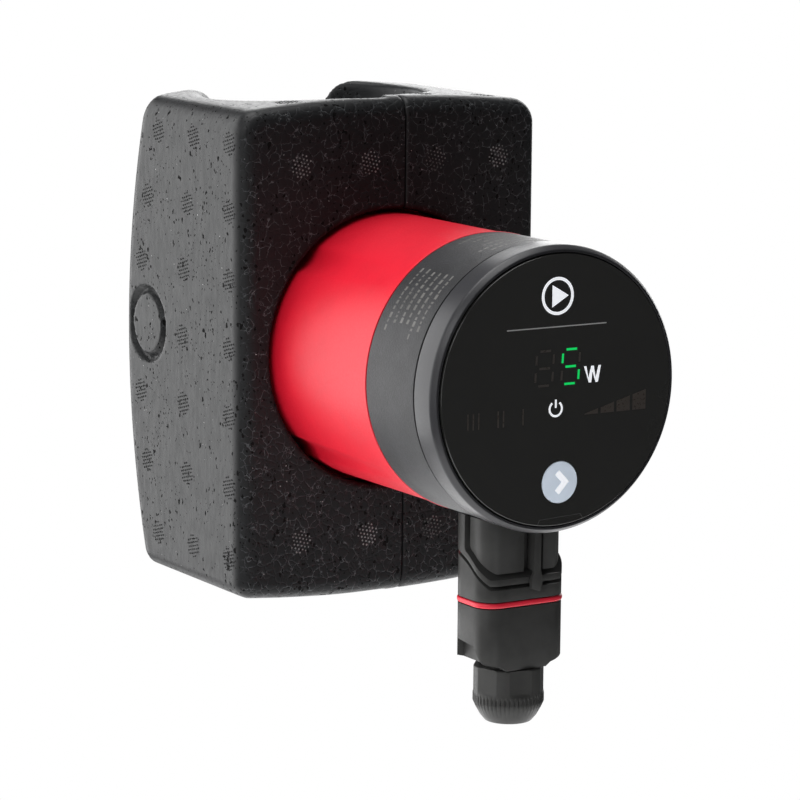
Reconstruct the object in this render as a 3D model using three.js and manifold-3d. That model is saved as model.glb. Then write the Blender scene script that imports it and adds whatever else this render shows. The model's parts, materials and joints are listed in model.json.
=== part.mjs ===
// A wet-rotor circulator pump in its two-piece foam insulation shell, in millimetres.
// +Z runs up the pipe, -Y is the display side, +X is to the right of the display.
// The origin is where the pipe axis meets the motor axis.
import * as THREE from "three";
import { mergeVertices } from "three/addons/utils/BufferGeometryUtils.js";
import Module from "manifold-3d";

const wasm = await Module();
wasm.setup();

// Driving dimensions.
const GAP = 0.3;
const PORT_Z = 65;
const PORT_R = 16.6;
const PORT_BORE_R = 10;
const HOUSING_BACK_Y = 27;
const JOINT_Y = -17;
const MOTOR_R = 41;
const FLANGE_R = 44.5;
const CONTROL_BACK_Y = -91.8;
const BEZEL_Y = -118.5;
const FACE_Y = -129;
const FACE_R = 39.1;
const SHELL_FRONT_Y = -38.7;
const SHELL_BACK_Y = 47;
const SHELL_BACK_CURVE = 0.00285;
const SHELL_BACK_PULL = 0.23;
const SHELL_HALF_X = 52.7;
const SHELL_HALF_Z = 76.6;
const SHELL_ARCH = 0.0011;
const SHELL_EDGE_R = 9;
const SPLIT_X = 4.4;
const NOTCH_R = 33.5;
const NOTCH_Y = 4;
const NOTCH_FLOOR_Z = 56;
const DISC_Y = 21.5;
const DISC_Z = 3.2;
const SHAFT_R = 3;
const CAN_R = 19;
const STATOR_R = 33;
const TOOTH_COUNT = 6;
const BLADE_COUNT = 6;
const IMPELLER_R = 25;
const CHAMBER_R = 29.5;
const SCREW_CIRCLE_R = 39;
const SCREW_ANGLES = [45, 135, 225, 315];
const PLUG_Y = -105.7;
const PLUG_X_SIZE = 29.5;
const PLUG_Y_SIZE = 18.6;
const PLUG_BOTTOM_Z = -84.3;
const NUT_TOP_Z = -84.6;
const SEAL_Z = [-65.3, -63.8];
const COLLAR_LOW_Z = -59.9;
const COLLAR_HIGH_Z = -50.7;
const RIB_X = 2.5;
const PIN_PITCH = 6.5;
const DIGITS_Z = 6.7;
const BUTTON_X = 1.2;
const BUTTON_Z = -26.6;
const BUTTON_R = 6.1;

const finishes = {
  foam: finish(0x161616, 0.75, 0),
  castIron: finish(0x3a3d40, 0.6, 0.6),
  redPaint: finish(0xd71e2d, 0.35, 0.1),
  darkPlastic: finish(0x555558, 0.6, 0),
  bezelPlastic: finish(0x4a4a4c, 0.45, 0),
  plugPlastic: finish(0x2f2f30, 0.55, 0),
  blackGlass: finish(0x141414, 0.08, 0),
  paleButton: finish(0xb2bcc8, 0.3, 0),
  redRubber: finish(0xdc283c, 0.5, 0),
  blackRubber: finish(0x1a1a1a, 0.8, 0),
  stainless: finish(0xb8babd, 0.3, 1),
  steel: finish(0x8d9094, 0.4, 1),
  copper: finish(0xb4663a, 0.35, 1),
  ceramic: finish(0xe8e4da, 0.4, 0),
  carbon: finish(0x2b2b2d, 0.5, 0.2),
  composite: finish(0xd9d5c8, 0.5, 0),
  boardGreen: finish(0x1f5a36, 0.5, 0),
  brass: finish(0xc2a04a, 0.35, 1),
};

const part = new THREE.Group();

function finish(color, roughness, metalness) {
  return new THREE.MeshStandardMaterial({ color, roughness, metalness });
}

function add(name, geometry, material) {
  const mesh = new THREE.Mesh(geometry, material);
  mesh.name = name;
  part.add(mesh);
}

// A closed three.js geometry as a manifold-3d solid.
function toSolid(geometry) {
  const bare = geometry.clone();
  bare.deleteAttribute("normal");
  bare.deleteAttribute("uv");
  const merged = mergeVertices(bare, 1e-3);
  const triVerts = new Uint32Array(merged.index.array);
  const vertProperties = merged.attributes.position.array;
  return new wasm.Manifold(new wasm.Mesh({ numProp: 3, vertProperties, triVerts }));
}

function toGeometry(solid) {
  const { vertProperties, triVerts } = solid.getMesh();
  const geometry = new THREE.BufferGeometry();
  geometry.setAttribute("position", new THREE.BufferAttribute(vertProperties, 3));
  geometry.setIndex(new THREE.BufferAttribute(triVerts, 1));
  geometry.computeVertexNormals();
  return geometry;
}

// The first geometry joined with the others.
function joined(first, ...others) {
  return toGeometry(others.reduce((sum, other) => sum.add(toSolid(other)), toSolid(first)));
}

// The first geometry with the others cut away.
function cut(first, ...others) {
  return toGeometry(others.reduce((rest, other) => rest.subtract(toSolid(other)), toSolid(first)));
}

function common(first, second) {
  return toGeometry(toSolid(first).intersect(toSolid(second)));
}

// A [radius, y] outline turned about the motor axis; a ring's outline closes on itself.
function turned(outline, segments = 40) {
  const points = outline.map(([radius, y]) => new THREE.Vector2(radius, y));
  if (THREE.ShapeUtils.isClockWise(points)) points.reverse();
  const closesOnAxis = points.some((point) => point.x === 0);
  if (closesOnAxis) {
    while (points[0].x !== 0 || points[points.length - 1].x !== 0) points.push(points.shift());
  } else {
    points.push(points[0].clone());
  }
  return new THREE.LatheGeometry(points, segments);
}

function ring(innerR, outerR, y0, y1, segments) {
  return turned([[innerR, y0], [outerR, y0], [outerR, y1], [innerR, y1]], segments);
}

function disc(radius, y0, y1, segments) {
  return turned([[0, y0], [radius, y0], [radius, y1], [0, y1]], segments);
}

// Turns a piece made about the Y axis to stand on the Z axis.
function upright(geometry) {
  return geometry.rotateX(Math.PI / 2);
}

function box(xSize, ySize, zSize, x, y, z) {
  return new THREE.BoxGeometry(xSize, ySize, zSize).translate(x, y, z);
}

function roundedRectangle(width, height, radius) {
  const x = width / 2;
  const y = height / 2;
  const shape = new THREE.Shape();
  shape.moveTo(-x + radius, -y);
  shape.absarc(x - radius, -y + radius, radius, -Math.PI / 2, 0);
  shape.absarc(x - radius, y - radius, radius, 0, Math.PI / 2);
  shape.absarc(-x + radius, y - radius, radius, Math.PI / 2, Math.PI);
  shape.absarc(-x + radius, -y + radius, radius, Math.PI, Math.PI * 1.5);
  return shape;
}

function extruded(shape, depth, curveSegments = 6) {
  return new THREE.ExtrudeGeometry(shape, { depth, bevelEnabled: false, curveSegments });
}

// A rounded rectangle in plan, about the plug's own axis, from z0 up to z1.
function plugPrism(xSize, ySize, radius, z0, z1) {
  return extruded(roundedRectangle(xSize, ySize, radius), z1 - z0, 4).translate(0, PLUG_Y, z0);
}

// A shape drawn in X and Z, extruded from y0 to y1.
function frontPrism(shape, y0, y1) {
  return extruded(shape, y1 - y0).rotateX(Math.PI / 2).translate(0, y1, 0);
}

// A shape drawn in Y and Z, extruded from x0 to x1.
function sidePrism(shape, x0, x1) {
  return sideways(extruded(shape, x1 - x0)).translate(x0, 0, 0);
}

// Turns a piece drawn in X and Y and extruded along Z, so that it is drawn in Y and Z and extruded along X.
function sideways(geometry) {
  const axes = [new THREE.Vector3(0, 1, 0), new THREE.Vector3(0, 0, 1), new THREE.Vector3(1, 0, 0)];
  return geometry.applyMatrix4(new THREE.Matrix4().makeBasis(...axes));
}

function polygon(points) {
  return new THREE.Shape(points.map(([x, y]) => new THREE.Vector2(x, y)));
}

function onScrewCircle(geometry, degrees) {
  const angle = THREE.MathUtils.degToRad(degrees);
  const x = SCREW_CIRCLE_R * Math.cos(angle);
  const z = SCREW_CIRCLE_R * Math.sin(angle);
  return geometry.translate(x, 0, z);
}

// The foam block: a side outline drawn in Y and Z, extruded along X and then arched.
function shellBlock() {
  const edge = SHELL_EDGE_R;
  const top = SHELL_HALF_Z;
  const straight = top - edge;
  const back = SHELL_BACK_Y - SHELL_BACK_CURVE * straight * straight;
  const outline = new THREE.Shape();
  outline.moveTo(SHELL_FRONT_Y, -straight);
  outline.quadraticCurveTo(SHELL_FRONT_Y, -top, SHELL_FRONT_Y + edge, -top);
  outline.lineTo(back - edge, -top);
  outline.quadraticCurveTo(back - 1, -top, back, -straight);
  outline.quadraticCurveTo(2 * SHELL_BACK_Y - back, 0, back, straight);
  outline.quadraticCurveTo(back - 1, top, back - edge, top);
  outline.lineTo(SHELL_FRONT_Y + edge, top);
  outline.quadraticCurveTo(SHELL_FRONT_Y, top, SHELL_FRONT_Y, straight);
  const bevel = 6;
  const block = new THREE.ExtrudeGeometry(outline, {
    depth: 2 * (SHELL_HALF_X - bevel),
    steps: 8,
    curveSegments: 7,
    bevelThickness: bevel,
    bevelSize: bevel,
    bevelOffset: -bevel,
    bevelSegments: 3,
  });
  return arched(sideways(block).translate(bevel - SHELL_HALF_X, 0, 0));
}

// The top and bottom fall away to the sides, and the back curves in towards them.
function arched(geometry) {
  const position = geometry.attributes.position;
  for (let i = 0; i < position.count; i += 1) {
    const x = position.getX(i);
    const y = position.getY(i);
    const drop = SHELL_ARCH * x * x / SHELL_HALF_Z;
    const pull = SHELL_BACK_PULL * (Math.abs(x) / SHELL_HALF_X) ** 5;
    position.setZ(i, position.getZ(i) * (1 - drop));
    if (y > 0) position.setY(i, y * (1 - pull));
  }
  return geometry;
}

function makeShell() {
  const cavity = disc(46.5, -28, 29, 40);
  const motorHole = disc(MOTOR_R + 0.8, SHELL_FRONT_Y - 5, -27, 48);
  const neckHole = upright(disc(18.5, -SHELL_HALF_Z, SHELL_HALF_Z, 24));
  const topNotch = upright(disc(NOTCH_R, NOTCH_FLOOR_Z, SHELL_HALF_Z + 5, 40)).translate(0, NOTCH_Y, 0);
  const bottomNotch = topNotch.clone().rotateY(Math.PI);
  const sideGroove = ring(9.6, 11.8, SHELL_HALF_X - 1.5, SHELL_HALF_X + 1.3, 24);
  sideGroove.rotateZ(Math.PI / 2).translate(0, DISC_Y, DISC_Z);
  const foam = cut(shellBlock(), cavity, motorHole, neckHole, topNotch, bottomNotch, sideGroove);
  const leftSide = box(100, 200, 200, SPLIT_X - GAP / 2 - 50, 0, 0);
  const rightSide = box(100, 200, 200, SPLIT_X + GAP / 2 + 50, 0, 0);
  add("shell_left", common(foam, leftSide), finishes.foam);
  add("shell_right", common(foam, rightSide), finishes.foam);
}

// A round passage along a curve in the Y-Z plane, given as [y, z] points.
function passage(points, radius) {
  const curve = new THREE.CatmullRomCurve3(points.map(([y, z]) => new THREE.Vector3(0, y, z)));
  const section = new THREE.Shape().absarc(0, 0, radius, 0, Math.PI * 2);
  return new THREE.ExtrudeGeometry(section, { extrudePath: curve, steps: 10, curveSegments: 8 });
}

// The water's way in, from the lower port to the impeller's eye, and its way out of the volute.
function waterPassages() {
  const inletR = 9.5;
  const outletR = 9;
  const below = -PORT_Z - 1;
  const inlet = [[0, below], [0, -59], [3.5, -51], [10, -42], [15, -30], [15.5, -12], [15.5, 1]];
  const outlet = [[-6, 22], [-5, 34], [0, 47], [0, 56], [0, PORT_Z + 1]];
  return [passage(inlet, inletR), passage(outlet, outletR)];
}

function makePumpHousing() {
  const volute = turned([
    [0, JOINT_Y], [FLANGE_R, JOINT_Y], [FLANGE_R, -10], [42, -10],
    [42, 13], [37, 22], [29, HOUSING_BACK_Y], [0, HOUSING_BACK_Y],
  ]);
  const necks = upright(disc(PORT_R, -PORT_Z, PORT_Z, 30));
  const plateRecess = disc(35.8, JOINT_Y - 1, -12.1);
  const chamber = disc(CHAMBER_R, JOINT_Y - 1, 2);
  const ringSeat = disc(14.6, 1, 5);
  const eye = disc(9.5, 1, 15, 20);
  const topBore = upright(disc(PORT_BORE_R, 49, PORT_Z + 1, 24));
  const bores = [topBore, topBore.clone().rotateX(Math.PI)];
  const holes = SCREW_ANGLES.map((degrees) => onScrewCircle(disc(2.6, JOINT_Y - 1, -7.4, 12), degrees));
  const casting = joined(volute, necks);
  const hollow = cut(casting, plateRecess, chamber, ringSeat, eye, ...waterPassages(), ...bores, ...holes);
  add("pump_housing", hollow, finishes.castIron);
  add("wear_ring", ring(11.4, 14.3, -0.5, 4.7, 24), finishes.stainless);
  add("housing_gasket", ring(33.4, 35.5, -16.9, -12.4, 30), finishes.blackRubber);
}

// One backward-curved blade in X and Z, starting at the eye.
function bladeShape() {
  const blade = new THREE.Shape();
  blade.moveTo(8, 0.8);
  blade.quadraticCurveTo(17.5, -1.8, 21.8, -11.6);
  blade.lineTo(20.4, -12.6);
  blade.quadraticCurveTo(16.5, -3.4, 8, -0.8);
  return blade;
}

function makeRotor() {
  const backShroud = disc(IMPELLER_R, -11.6, -9.8, 30);
  const hub = disc(6.5, -10.5, -4, 24);
  const frontShroud = turned([
    [9, -3.7], [IMPELLER_R, -3.7], [IMPELLER_R, -2], [11, -2], [11, 4.5], [9, 4.5],
  ], 30);
  const blades = [];
  for (let i = 0; i < BLADE_COUNT; i += 1) {
    const blade = frontPrism(bladeShape(), -10.2, -3.2);
    blades.push(blade.rotateY((i * 2 * Math.PI) / BLADE_COUNT));
  }
  const wheel = joined(backShroud, hub, frontShroud, ...blades);
  add("impeller", cut(wheel, disc(SHAFT_R + GAP, -13, -3, 20)), finishes.composite);
  add("shaft", disc(SHAFT_R, -79, -3.2, 20), finishes.ceramic);
  add("rotor_magnet", ring(SHAFT_R + GAP, 17, -72, -30, 24), finishes.stainless);
  add("thrust_bearing", ring(SHAFT_R + GAP, 6.5, -29.6, -26.4, 24), finishes.carbon);
}

function makeRotorCan() {
  add("rotor_can", turned([
    [0, -82], [CAN_R, -82], [CAN_R, JOINT_Y], [33, JOINT_Y],
    [33, -16.2], [18.2, -16.2], [18.2, -81.2], [0, -81.2],
  ], 30), finishes.stainless);
  add("front_bearing", ring(SHAFT_R + GAP, 7, -80.6, -74, 24), finishes.ceramic);
  add("bearing_holder", ring(7.3, 17.8, -80.6, -74, 24), finishes.stainless);
  add("bearing_plate", turned([
    [33, -15.9], [10.5, -15.9], [10.5, -22], [6.8, -22], [6.8, -12.4], [33, -12.4],
  ], 30), finishes.stainless);
  add("rear_bearing", ring(SHAFT_R + GAP, 6.5, -22, -12.6, 24), finishes.ceramic);
}

function makeStatorHousing() {
  const sleeve = turned([
    [FLANGE_R, JOINT_Y - GAP], [FLANGE_R, -22], [MOTOR_R, -22], [MOTOR_R, -90.8],
    [MOTOR_R + 0.4, -91], [MOTOR_R + 0.4, CONTROL_BACK_Y], [STATOR_R + 0.4, CONTROL_BACK_Y],
    [STATOR_R + 0.4, -27], [CAN_R + 0.4, -27], [CAN_R + 0.4, JOINT_Y - GAP],
  ], 48);
  const cutters = [];
  for (const degrees of SCREW_ANGLES) {
    cutters.push(onScrewCircle(disc(2.7, -30, JOINT_Y + 1, 12), degrees));
    cutters.push(onScrewCircle(disc(4.5, -36, -22, 16), degrees));
    cutters.push(screwScallop(degrees));
  }
  add("stator_housing", cut(sleeve, ...cutters), finishes.redPaint);
}

// The long groove that gives a driver its way to a screw; it fades out towards the display.
function screwScallop(degrees) {
  const grooveR = 7.5;
  const depth = 4.2;
  const fadeLength = 43;
  const groove = disc(grooveR, -fadeLength, 16.5, 24);
  groove.rotateZ(Math.atan(depth / fadeLength));
  groove.translate(MOTOR_R - depth + grooveR, SHELL_FRONT_Y, 0);
  return groove.rotateY(-THREE.MathUtils.degToRad(degrees));
}

function makeScrews() {
  SCREW_ANGLES.forEach((degrees, index) => {
    const screw = turned([
      [0, -24.6], [2, -24.6], [2, -27.2], [4, -27.2], [4, -22.3], [2.3, -22.3], [2.3, -7.8], [0, -7.8],
    ], 12);
    add(`housing_screw_${index + 1}`, onScrewCircle(screw, degrees), finishes.steel);
  });
}

// The laminated stack: a ring with inward teeth that carry the coils.
function makeStator() {
  const back = -34;
  const front = -70;
  const toothWidth = 7;
  const yoke = ring(29.9, STATOR_R, front, back, 36);
  const teeth = [];
  for (let i = 0; i < TOOTH_COUNT; i += 1) {
    const angle = (i * 2 * Math.PI) / TOOTH_COUNT;
    const stem = box(10.5, back - front, toothWidth, 25.75, (front + back) / 2, 0);
    const shoe = box(2.4, back - front, 15, 21.4, (front + back) / 2, 0);
    teeth.push(stem.rotateY(angle), shoe.rotateY(angle));
  }
  const stack = joined(yoke, ...teeth);
  add("stator_core", cut(stack, disc(CAN_R + 0.5, front - 1, back + 1, 36)), finishes.steel);
  for (let i = 0; i < TOOTH_COUNT; i += 1) {
    const outside = box(5.6, back - front + 8, 13, 25.9, (front + back) / 2, 0);
    const inside = box(8, back - front + 2 * GAP, toothWidth + 2 * GAP, 25.9, (front + back) / 2, 0);
    const coil = cut(outside, inside).rotateY((i * 2 * Math.PI) / TOOTH_COUNT);
    add(`coil_${i + 1}`, coil, finishes.copper);
  }
}

function makeControlHousing() {
  const back = CONTROL_BACK_Y - GAP;
  const cup = turned([
    [41.3, back], [41.3, BEZEL_Y + 0.2], [38.8, BEZEL_Y + 0.2],
    [38.8, back - 2.5], [17, back - 2.5], [17, back],
  ], 48);
  const window = box(19, 9, 12, 0, PLUG_Y, -40);
  add("control_housing", cut(cup, window), finishes.darkPlastic);
  add("bezel_ring", turned([
    [41.6, BEZEL_Y - 0.1], [41.6, -125.8], [41, -127.7], [40.2, -128.4], [39.5, -128.4],
    [39.5, -126.9], [36, -126.9], [36, -124.9], [39.1, -124.9], [39.1, BEZEL_Y - 0.1],
  ], 48), finishes.bezelPlastic);
  const panel = disc(FACE_R, FACE_Y, FACE_Y + 1.8, 48);
  const buttonHole = disc(BUTTON_R + GAP, FACE_Y - 1, FACE_Y + 3, 24).translate(BUTTON_X, 0, BUTTON_Z);
  add("display_panel", cut(panel, buttonHole), finishes.blackGlass);
  const button = turned([
    [0, FACE_Y + 0.1], [BUTTON_R, FACE_Y + 0.1], [BUTTON_R, -126.6], [7.2, -126.6],
    [7.2, -126], [2, -126], [2, -124.4], [0, -124.4],
  ], 24);
  add("push_button", button.translate(BUTTON_X, 0, BUTTON_Z), finishes.paleButton);
}

function makeElectronics() {
  const board = disc(37.5, -103, -101.4, 40);
  add("circuit_board", board, finishes.boardGreen);
  add("capacitor", disc(8, -117, -103.3, 24).translate(-15, 0, 14), finishes.carbon);
  add("line_choke", ring(4, 9, -112, -103.3, 24).translate(15, 0, 14), finishes.copper);
  add("display_board", disc(38.6, -120.9, -119.3, 40), finishes.boardGreen);
  add("digit_display", box(24, 5.6, 16, 4, -124, DIGITS_Z), finishes.carbon);
  add("button_switch", box(7, 2.5, 7, BUTTON_X, -122.5, BUTTON_Z), finishes.carbon);
}

// The upper edge of the plug's collar, raised by lift: a quarter ellipse from the low front to the high back.
function collarEdge(lift) {
  const frontY = PLUG_Y - PLUG_Y_SIZE / 2;
  const rise = COLLAR_HIGH_Z - COLLAR_LOW_Z;
  const steps = 6;
  const points = [[PLUG_Y - 12, COLLAR_LOW_Z + lift]];
  for (let i = 0; i <= steps; i += 1) {
    const angle = (i / steps) * (Math.PI / 2);
    points.push([frontY + PLUG_Y_SIZE * (1 - Math.cos(angle)), COLLAR_LOW_Z + lift + rise * Math.sin(angle)]);
  }
  points.push([PLUG_Y + 12, COLLAR_HIGH_Z + lift]);
  return points;
}

// The socket under the head: a tube with a ridge that follows the collar, a rib in front and open below.
function makeSocket() {
  const tube = plugPrism(25.2, 14.6, 5, -62.8, -34);
  const ridgePlate = plugPrism(29.3, 18.4, 5.8, -63.3, -36);
  const lower = collarEdge(1);
  const upper = collarEdge(3.2).reverse();
  const band = sidePrism(polygon([...lower, ...upper]), -16, 16);
  const sidePosts = box(29.3, 8, 12.8, 0, PLUG_Y + 5.5, -42.6);
  const rib = box(2.6, 3.8, 18, RIB_X, PLUG_Y - 8.9, -45.4);
  const ribFoot = box(2.6, 1.2, 7, RIB_X, PLUG_Y - 10.2, -57);
  const recess = plugPrism(21, 10.4, 3, -64.3, -50);
  const leadSpace = plugPrism(18, 8, 2, -47.6, -30);
  const headClearance = disc(41.6, -130, -80, 48);
  const ridge = common(ridgePlate, joined(band, sidePosts));
  const outside = joined(tube, ridge, rib, ribFoot);
  const pinHoles = [-1, 0, 1].map((step) => pinAt(step, 1.5, -52, -46));
  add("power_socket", cut(outside, recess, leadSpace, headClearance, ...pinHoles), finishes.plugPlastic);
  ["pin_line", "pin_earth", "pin_neutral"].forEach((name, index) => {
    add(name, pinAt(index - 1, 1.2, -60.3, -43), finishes.brass);
  });
}

function pinAt(step, radius, z0, z1) {
  return upright(disc(radius, z0, z1, 14)).translate(step * PIN_PITCH, PLUG_Y, 0);
}

function makePlug() {
  const collarWall = plugPrism(PLUG_X_SIZE, PLUG_Y_SIZE, 6, SEAL_Z[1] + GAP, -47.3);
  const collarBore = plugPrism(26, 15.4, 5.2, -67, -37);
  const aboveEdge = polygon([...collarEdge(0), [PLUG_Y + 12, -37], [PLUG_Y - 12, -37]]);
  const aboveCollar = sidePrism(aboveEdge, -16, 16);
  add("plug_collar", cut(collarWall, collarBore, aboveCollar), finishes.plugPlastic);
  const sealWall = plugPrism(PLUG_X_SIZE + 0.4, PLUG_Y_SIZE + 0.4, 6.2, ...SEAL_Z);
  add("plug_seal", cut(sealWall, plugPrism(24, 13.4, 4, -67, -61)), finishes.redRubber);
  const body = plugPrism(PLUG_X_SIZE, PLUG_Y_SIZE, 6, PLUG_BOTTOM_Z, SEAL_Z[0] - GAP);
  const spigot = upright(disc(8, PLUG_BOTTOM_Z - 10, PLUG_BOTTOM_Z + 1, 28)).translate(0, PLUG_Y, 0);
  const chamber = plugPrism(21.4, 10.8, 3.2, -80, -63);
  const cableWay = upright(disc(6.3, -96, -78, 24)).translate(0, PLUG_Y, 0);
  const latchSlope = polygon([[6, -76.2], [-3.4, -77], [-5.4, -80], [-8.8, -86], [6, -86]]);
  const latchCut = sidePrism(latchSlope, -16, -11.8).translate(0, PLUG_Y, 0);
  add("plug_body", cut(joined(body, spigot), chamber, cableWay, latchCut), finishes.plugPlastic);
  const insert = plugPrism(20.4, 9.8, 2.7, -79, -53);
  const sockets = [-1, 0, 1].map((step) => pinAt(step, 1.6, -64, -50));
  add("plug_insert", cut(insert, ...sockets), finishes.carbon);
}

function makeGland() {
  const grommet = upright(ring(3.4, 6, PLUG_BOTTOM_Z - 10, NUT_TOP_Z, 24)).translate(0, PLUG_Y, 0);
  add("gland_grommet", grommet, finishes.blackRubber);
  const clamp = upright(ring(4.6, 8.1, -13.4, -10.1, 24)).translate(0, PLUG_Y, NUT_TOP_Z);
  add("clamp_ring", clamp, finishes.plugPlastic);
  const nut = turned([
    [10.5, 0], [10.5, -10.8], [9.4, -13.2], [6.9, -16.7],
    [4.5, -16.7], [4.5, -13.8], [8.4, -13.8], [8.4, 0],
  ], 28);
  add("gland_nut", upright(nut).translate(0, PLUG_Y, NUT_TOP_Z), finishes.plugPlastic);
}

makeShell();
makePumpHousing();
makeRotor();
makeRotorCan();
makeStatorHousing();
makeScrews();
makeStator();
makeControlHousing();
makeElectronics();
makeSocket();
makePlug();
makeGland();

export default part;
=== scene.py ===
import json
import math
import random

import bmesh
import bpy
import numpy as np
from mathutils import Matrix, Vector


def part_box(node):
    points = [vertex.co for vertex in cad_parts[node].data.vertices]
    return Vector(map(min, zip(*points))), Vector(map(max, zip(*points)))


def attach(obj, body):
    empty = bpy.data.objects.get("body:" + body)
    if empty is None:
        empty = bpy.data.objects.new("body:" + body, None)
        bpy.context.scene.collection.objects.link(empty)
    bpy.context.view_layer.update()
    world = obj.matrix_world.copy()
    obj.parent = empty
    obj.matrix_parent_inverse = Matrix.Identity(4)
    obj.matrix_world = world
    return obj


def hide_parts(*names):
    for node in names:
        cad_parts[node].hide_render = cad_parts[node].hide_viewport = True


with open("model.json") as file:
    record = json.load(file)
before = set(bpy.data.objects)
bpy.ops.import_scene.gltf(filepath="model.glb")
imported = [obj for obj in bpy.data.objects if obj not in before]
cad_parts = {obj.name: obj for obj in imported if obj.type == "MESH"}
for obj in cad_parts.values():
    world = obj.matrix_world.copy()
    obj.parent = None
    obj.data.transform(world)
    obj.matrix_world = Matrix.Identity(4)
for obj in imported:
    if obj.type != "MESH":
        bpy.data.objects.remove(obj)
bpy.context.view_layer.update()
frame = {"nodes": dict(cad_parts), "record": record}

import openvdb
from mathutils import Euler, Vector
from mathutils.bvhtree import BVHTree

MM = 0.001
TURN = 2 * math.pi


def box_mm(node):
    """A node's lowest and highest corner."""
    low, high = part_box(node)
    return Vector(low) / MM, Vector(high) / MM


def middle(node):
    low, high = box_mm(node)
    return [(low[axis] + high[axis]) / 2 for axis in range(3)]


def round_part(node):
    """The radius of a part about the motor's axis, and the Y of its front and back."""
    low, high = box_mm(node)
    return high.x, low.y, high.y


# Places and sizes taken from the frame.
SHELL_LOW = box_mm("shell_left")[0]
SHELL_HIGH = box_mm("shell_right")[1]
SEAM_X = (box_mm("shell_left")[1].x + box_mm("shell_right")[0].x) / 2
PORT_Z = box_mm("pump_housing")[1].z
FLANGE_R, *STATOR_Y = round_part("stator_housing")
CONTROL_R, *CONTROL_Y = round_part("control_housing")
BEZEL_R, *BEZEL_Y = round_part("bezel_ring")
FACE_R, FACE_Y, _ = round_part("display_panel")
BUTTON_CENTRE = middle("push_button")[::2]
PLUG_LOW, PLUG_HIGH = box_mm("plug_body")
COLLAR_BOTTOM_Z = box_mm("plug_collar")[0].z
SOCKET_LOW, SOCKET_HIGH = box_mm("power_socket")
PLUG_Y = middle("plug_body")[1]
PLUG_X_SIZE = PLUG_HIGH.x - PLUG_LOW.x
PLUG_Y_SIZE = PLUG_HIGH.y - PLUG_LOW.y
NUT_Z = (box_mm("gland_nut")[0].z, box_mm("gland_nut")[1].z)
NUT_R = box_mm("gland_nut")[1].x

# Foam shell: the curves of its faces, its rounded edges and its hollows.
TOP_ARCH = 0.0011
BACK_CURVE = 0.00285
BACK_PULL = 0.23
TOP_SIDE_R = 7
BOTTOM_SIDE_R = 5
FRONT_EDGE_R = 5
BACK_EDGE_R = 3.5
LEFT_RIM_R = 7.5
RIGHT_RIM_R = 2.2
NOTCH_R = 33.5
NOTCH_CENTRE = (-2, 4)
NOTCH_FLOOR_Z = 56
MOTOR_HOLE_R = 42.5
MOTOR_HOLE_BACK_Y = -27
CAVITY_R = 46.5
CAVITY_Y = 0.5
CAVITY_HALF_DEPTH = 28.5
NECK_HOLE_R = 18.5
DISC_Y = 21.5
DISC_Z = 3.2
DISC_R = 10.7
DISC_GROOVE_HALF_WIDTH = 1.0
DISC_GROOVE_DEPTH = 1.8
SEAM_GAP = 0.04
FOAM_STEP = 0.9

# Vent marks on the foam: rows on the sides, columns on the sides as y and how far each follows the
# curved back, and places on the front, top and bottom.
SIDE_MARK_ROWS = (64, 43.5, 23, 2.3, -18.5, -40, -62)
SIDE_MARK_COLUMNS = ((-31.2, 0), (-1.5, 0.65), (27, 1.15))
FRONT_MARK_COLUMNS = (-32, -8.3, 15.1, 37.8)
FRONT_MARK_ROWS = (57, -57.4)
END_MARK_Y = -29.5
MARK_R = 3.4
PIP_PITCH = 1.25

# Cast housing and its screws.
CAST_STEP = 0.8
VOLUTE_R = 42
NECK_R = 15.4
NECK_COLLAR_R = 17.4
NECK_COLLAR_Z = 48.5
PORT_BORE_R = 10
PORT_R = 16.6
THREAD_PITCH = 2.309
THREAD_DEPTH = 1.3
THREAD_START_Z = 51
SCREW_CIRCLE_R = 39
SCREW_ANGLES = (45, 135, 225, 315)
SCREW_HEAD_R = 4
SCREW_R = 2.3

# Motor, head and button.
MOTOR_R = 41
STATOR_BORE_R = 33.4
FLANGE_FRONT_Y = -21.8
SCALLOP_R = 8
SCALLOP_DEPTH = 1.7
SCALLOP_FADE = 40
BUTTON_R = 6.1
BUTTON_FLANGE_R = 7.2
POWER_SIGN = (-0.6, -5.2)
PUMP_SIGN = (-0.5, 27.2)

# Plug, socket and gland.
PLUG_CORNER_R = 6
RIB_X = 2.5
EDGE_LOW_Z = -59.9
EDGE_RISE = 9.2
EDGE_LEVEL = 1.0
SPIGOT_LENGTH = 10

# Roundness, and the floor.
ROUND_STEPS = 192
FILLET_STEPS = 5
FLOOR_Z = -420
FLOOR_R = 620


# --- Materials ---

def new_material(name, colour, roughness, metallic=0.0, **sockets):
    material = bpy.data.materials.new(name)
    material.use_nodes = True
    shader = material.node_tree.nodes["Principled BSDF"]
    shader.inputs["Base Color"].default_value = (*colour, 1)
    shader.inputs["Roughness"].default_value = roughness
    shader.inputs["Metallic"].default_value = metallic
    for socket, value in sockets.items():
        shader.inputs[socket.replace("_", " ")].default_value = value
    return material


def add_node(material, kind, **settings):
    node = material.node_tree.nodes.new(kind)
    for key, value in settings.items():
        setattr(node, key, value)
    return node


def link(material, output, target):
    material.node_tree.links.new(output, target)


def object_point(material, stretch=(1, 1, 1)):
    """The point on the object, in metres, scaled along each axis."""
    place = add_node(material, "ShaderNodeTexCoord")
    mapping = add_node(material, "ShaderNodeMapping")
    mapping.inputs["Scale"].default_value = stretch
    link(material, place.outputs["Object"], mapping.inputs["Vector"])
    return mapping.outputs["Vector"]


def noise(material, scale, detail, stretch=(1, 1, 1)):
    texture = add_node(material, "ShaderNodeTexNoise")
    texture.inputs["Scale"].default_value = scale
    texture.inputs["Detail"].default_value = detail
    texture.inputs["Roughness"].default_value = 0.6
    link(material, object_point(material, stretch), texture.inputs["Vector"])
    return texture.outputs["Fac"]


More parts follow.
